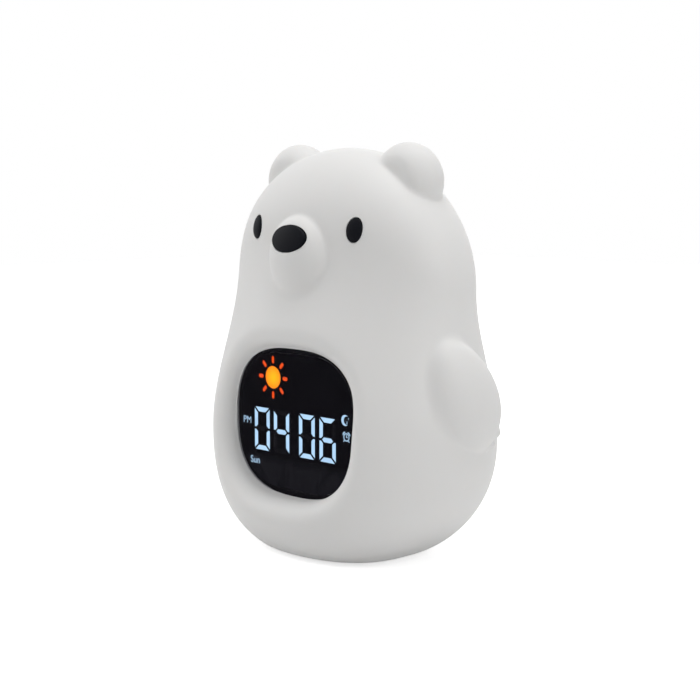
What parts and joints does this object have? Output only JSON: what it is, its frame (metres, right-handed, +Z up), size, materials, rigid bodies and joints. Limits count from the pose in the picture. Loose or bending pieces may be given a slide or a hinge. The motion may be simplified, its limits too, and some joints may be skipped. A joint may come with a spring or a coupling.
{
  "type": "kids alarm clock with night light",
  "caption": "Small free-standing children's alarm clock and night light: a soft white bear with a round-cornered digital display sunk in its belly and rear push buttons.",
  "frame": {"origin": "centre of the base on the table plane", "axes": "+Z up, the bear and its display face -Y, +X is the bear's left"},
  "size_m": [0.1202, 0.0774, 0.1442],
  "materials": {
    "silicone": "soft matte silicone, warm white",
    "black_inlay": "satin black",
    "window": "dark tinted acrylic, polished",
    "foam": "black foam tape",
    "film": "black mask film",
    "white_plastic": "white moulded plastic",
    "guide_lit": "clear light guide, lit pale blue",
    "guide_dark": "clear light guide, unlit",
    "guide_sun": "clear light guide, lit amber",
    "guide_rays": "clear light guide, lit orange red",
    "circuit_board": "green circuit board",
    "led": "light emitting diode",
    "chip": "black moulded component",
    "case_plastic": "milky translucent moulding",
    "panel_plastic": "fine textured white moulding",
    "steel": "pressed and plated steel",
    "button_plastic": "satin light grey moulding",
    "battery_foil": "foil pouch",
    "white_board": "white circuit board",
    "diffuser": "opal light diffuser",
    "foot_rubber": "grey rubber",
    "speaker_metal": "black painted steel basket",
    "speaker_cone": "black formed cone",
    "magnet": "ferrite magnet",
    "screw_steel": "zinc plated steel",
    "ribbon": "flat ribbon cable",
    "plunger": "black moulded plunger"
  },
  "bodies": {
    "case": {"silicone_skin": "silicone", "eye_left": "black_inlay", "eye_right": "black_inlay", "nose": "black_inlay", "display_window": "window", "window_gasket": "foam", "segment_film": "film", "reflector_block": "white_plastic", "segment_guides_lit": "guide_lit", "segment_guides_dark": "guide_dark", "sun_disc_guide": "guide_sun", "sun_ray_guides": "guide_rays", "icon_guides": "guide_lit", "display_board": "circuit_board", "display_leds": "led", "display_driver": "chip", "front_shell": "case_plastic", "rear_shell": "case_plastic", "rear_panel": "panel_plastic", "tact_switches": "chip", "power_switch_body": "steel", "usb_socket": "steel", "usb_tongue": "chip", "main_board": "circuit_board", "clock_chip": "chip", "tap_sensor": "steel", "board_sockets": "white_plastic", "battery_tape": "foam", "battery_cell": "battery_foil", "light_board": "white_board", "light_leds": "led", "light_diffuser": "diffuser", "base_cover": "panel_plastic", "rubber_feet": "foot_rubber", "speaker_frame": "speaker_metal", "speaker_magnet": "magnet", "case_screws": "screw_steel", "board_screws": "screw_steel", "base_screws": "screw_steel", "ribbon_cable": "ribbon"},
    "light_button": {"button_light": "button_plastic", "switch_plunger_light": "plunger"},
    "sound_button": {"button_sound": "button_plastic", "switch_plunger_sound": "plunger"},
    "alarm_button": {"button_alarm": "button_plastic", "switch_plunger_alarm": "plunger"},
    "minus_button": {"button_minus": "button_plastic", "switch_plunger_minus": "plunger"},
    "set_button": {"button_set": "button_plastic", "switch_plunger_set": "plunger"},
    "plus_button": {"button_plus": "button_plastic", "switch_plunger_plus": "plunger"},
    "power_switch": {"power_switch_knob": "button_plastic"},
    "speaker_diaphragm": {"speaker_cone": "speaker_cone"}
  },
  "joints": [
    {"name": "press_light", "type": "slide", "parent": "case", "child": "light_button", "axis": [0, -1, 0], "range_m": [0, 0.0005], "stiffness_N_per_m": 800},
    {"name": "press_sound", "type": "slide", "parent": "case", "child": "sound_button", "axis": [0, -1, 0], "range_m": [0, 0.0005], "stiffness_N_per_m": 800},
    {"name": "press_alarm", "type": "slide", "parent": "case", "child": "alarm_button", "axis": [0, -1, 0], "range_m": [0, 0.0005], "stiffness_N_per_m": 800},
    {"name": "press_minus", "type": "slide", "parent": "case", "child": "minus_button", "axis": [0, -1, 0], "range_m": [0, 0.0005], "stiffness_N_per_m": 800},
    {"name": "press_set", "type": "slide", "parent": "case", "child": "set_button", "axis": [0, -1, 0], "range_m": [0, 0.0005], "stiffness_N_per_m": 800},
    {"name": "press_plus", "type": "slide", "parent": "case", "child": "plus_button", "axis": [0, -1, 0], "range_m": [0, 0.0005], "stiffness_N_per_m": 800},
    {"name": "slide_power", "type": "slide", "parent": "case", "child": "power_switch", "axis": [1, 0, 0], "range_m": [0, 0.002]},
    {"name": "speaker_stroke", "type": "slide", "parent": "case", "child": "speaker_diaphragm", "axis": [0, 0, 1], "range_m": [-0.0003, 0.0003], "stiffness_N_per_m": 400}
  ]
}
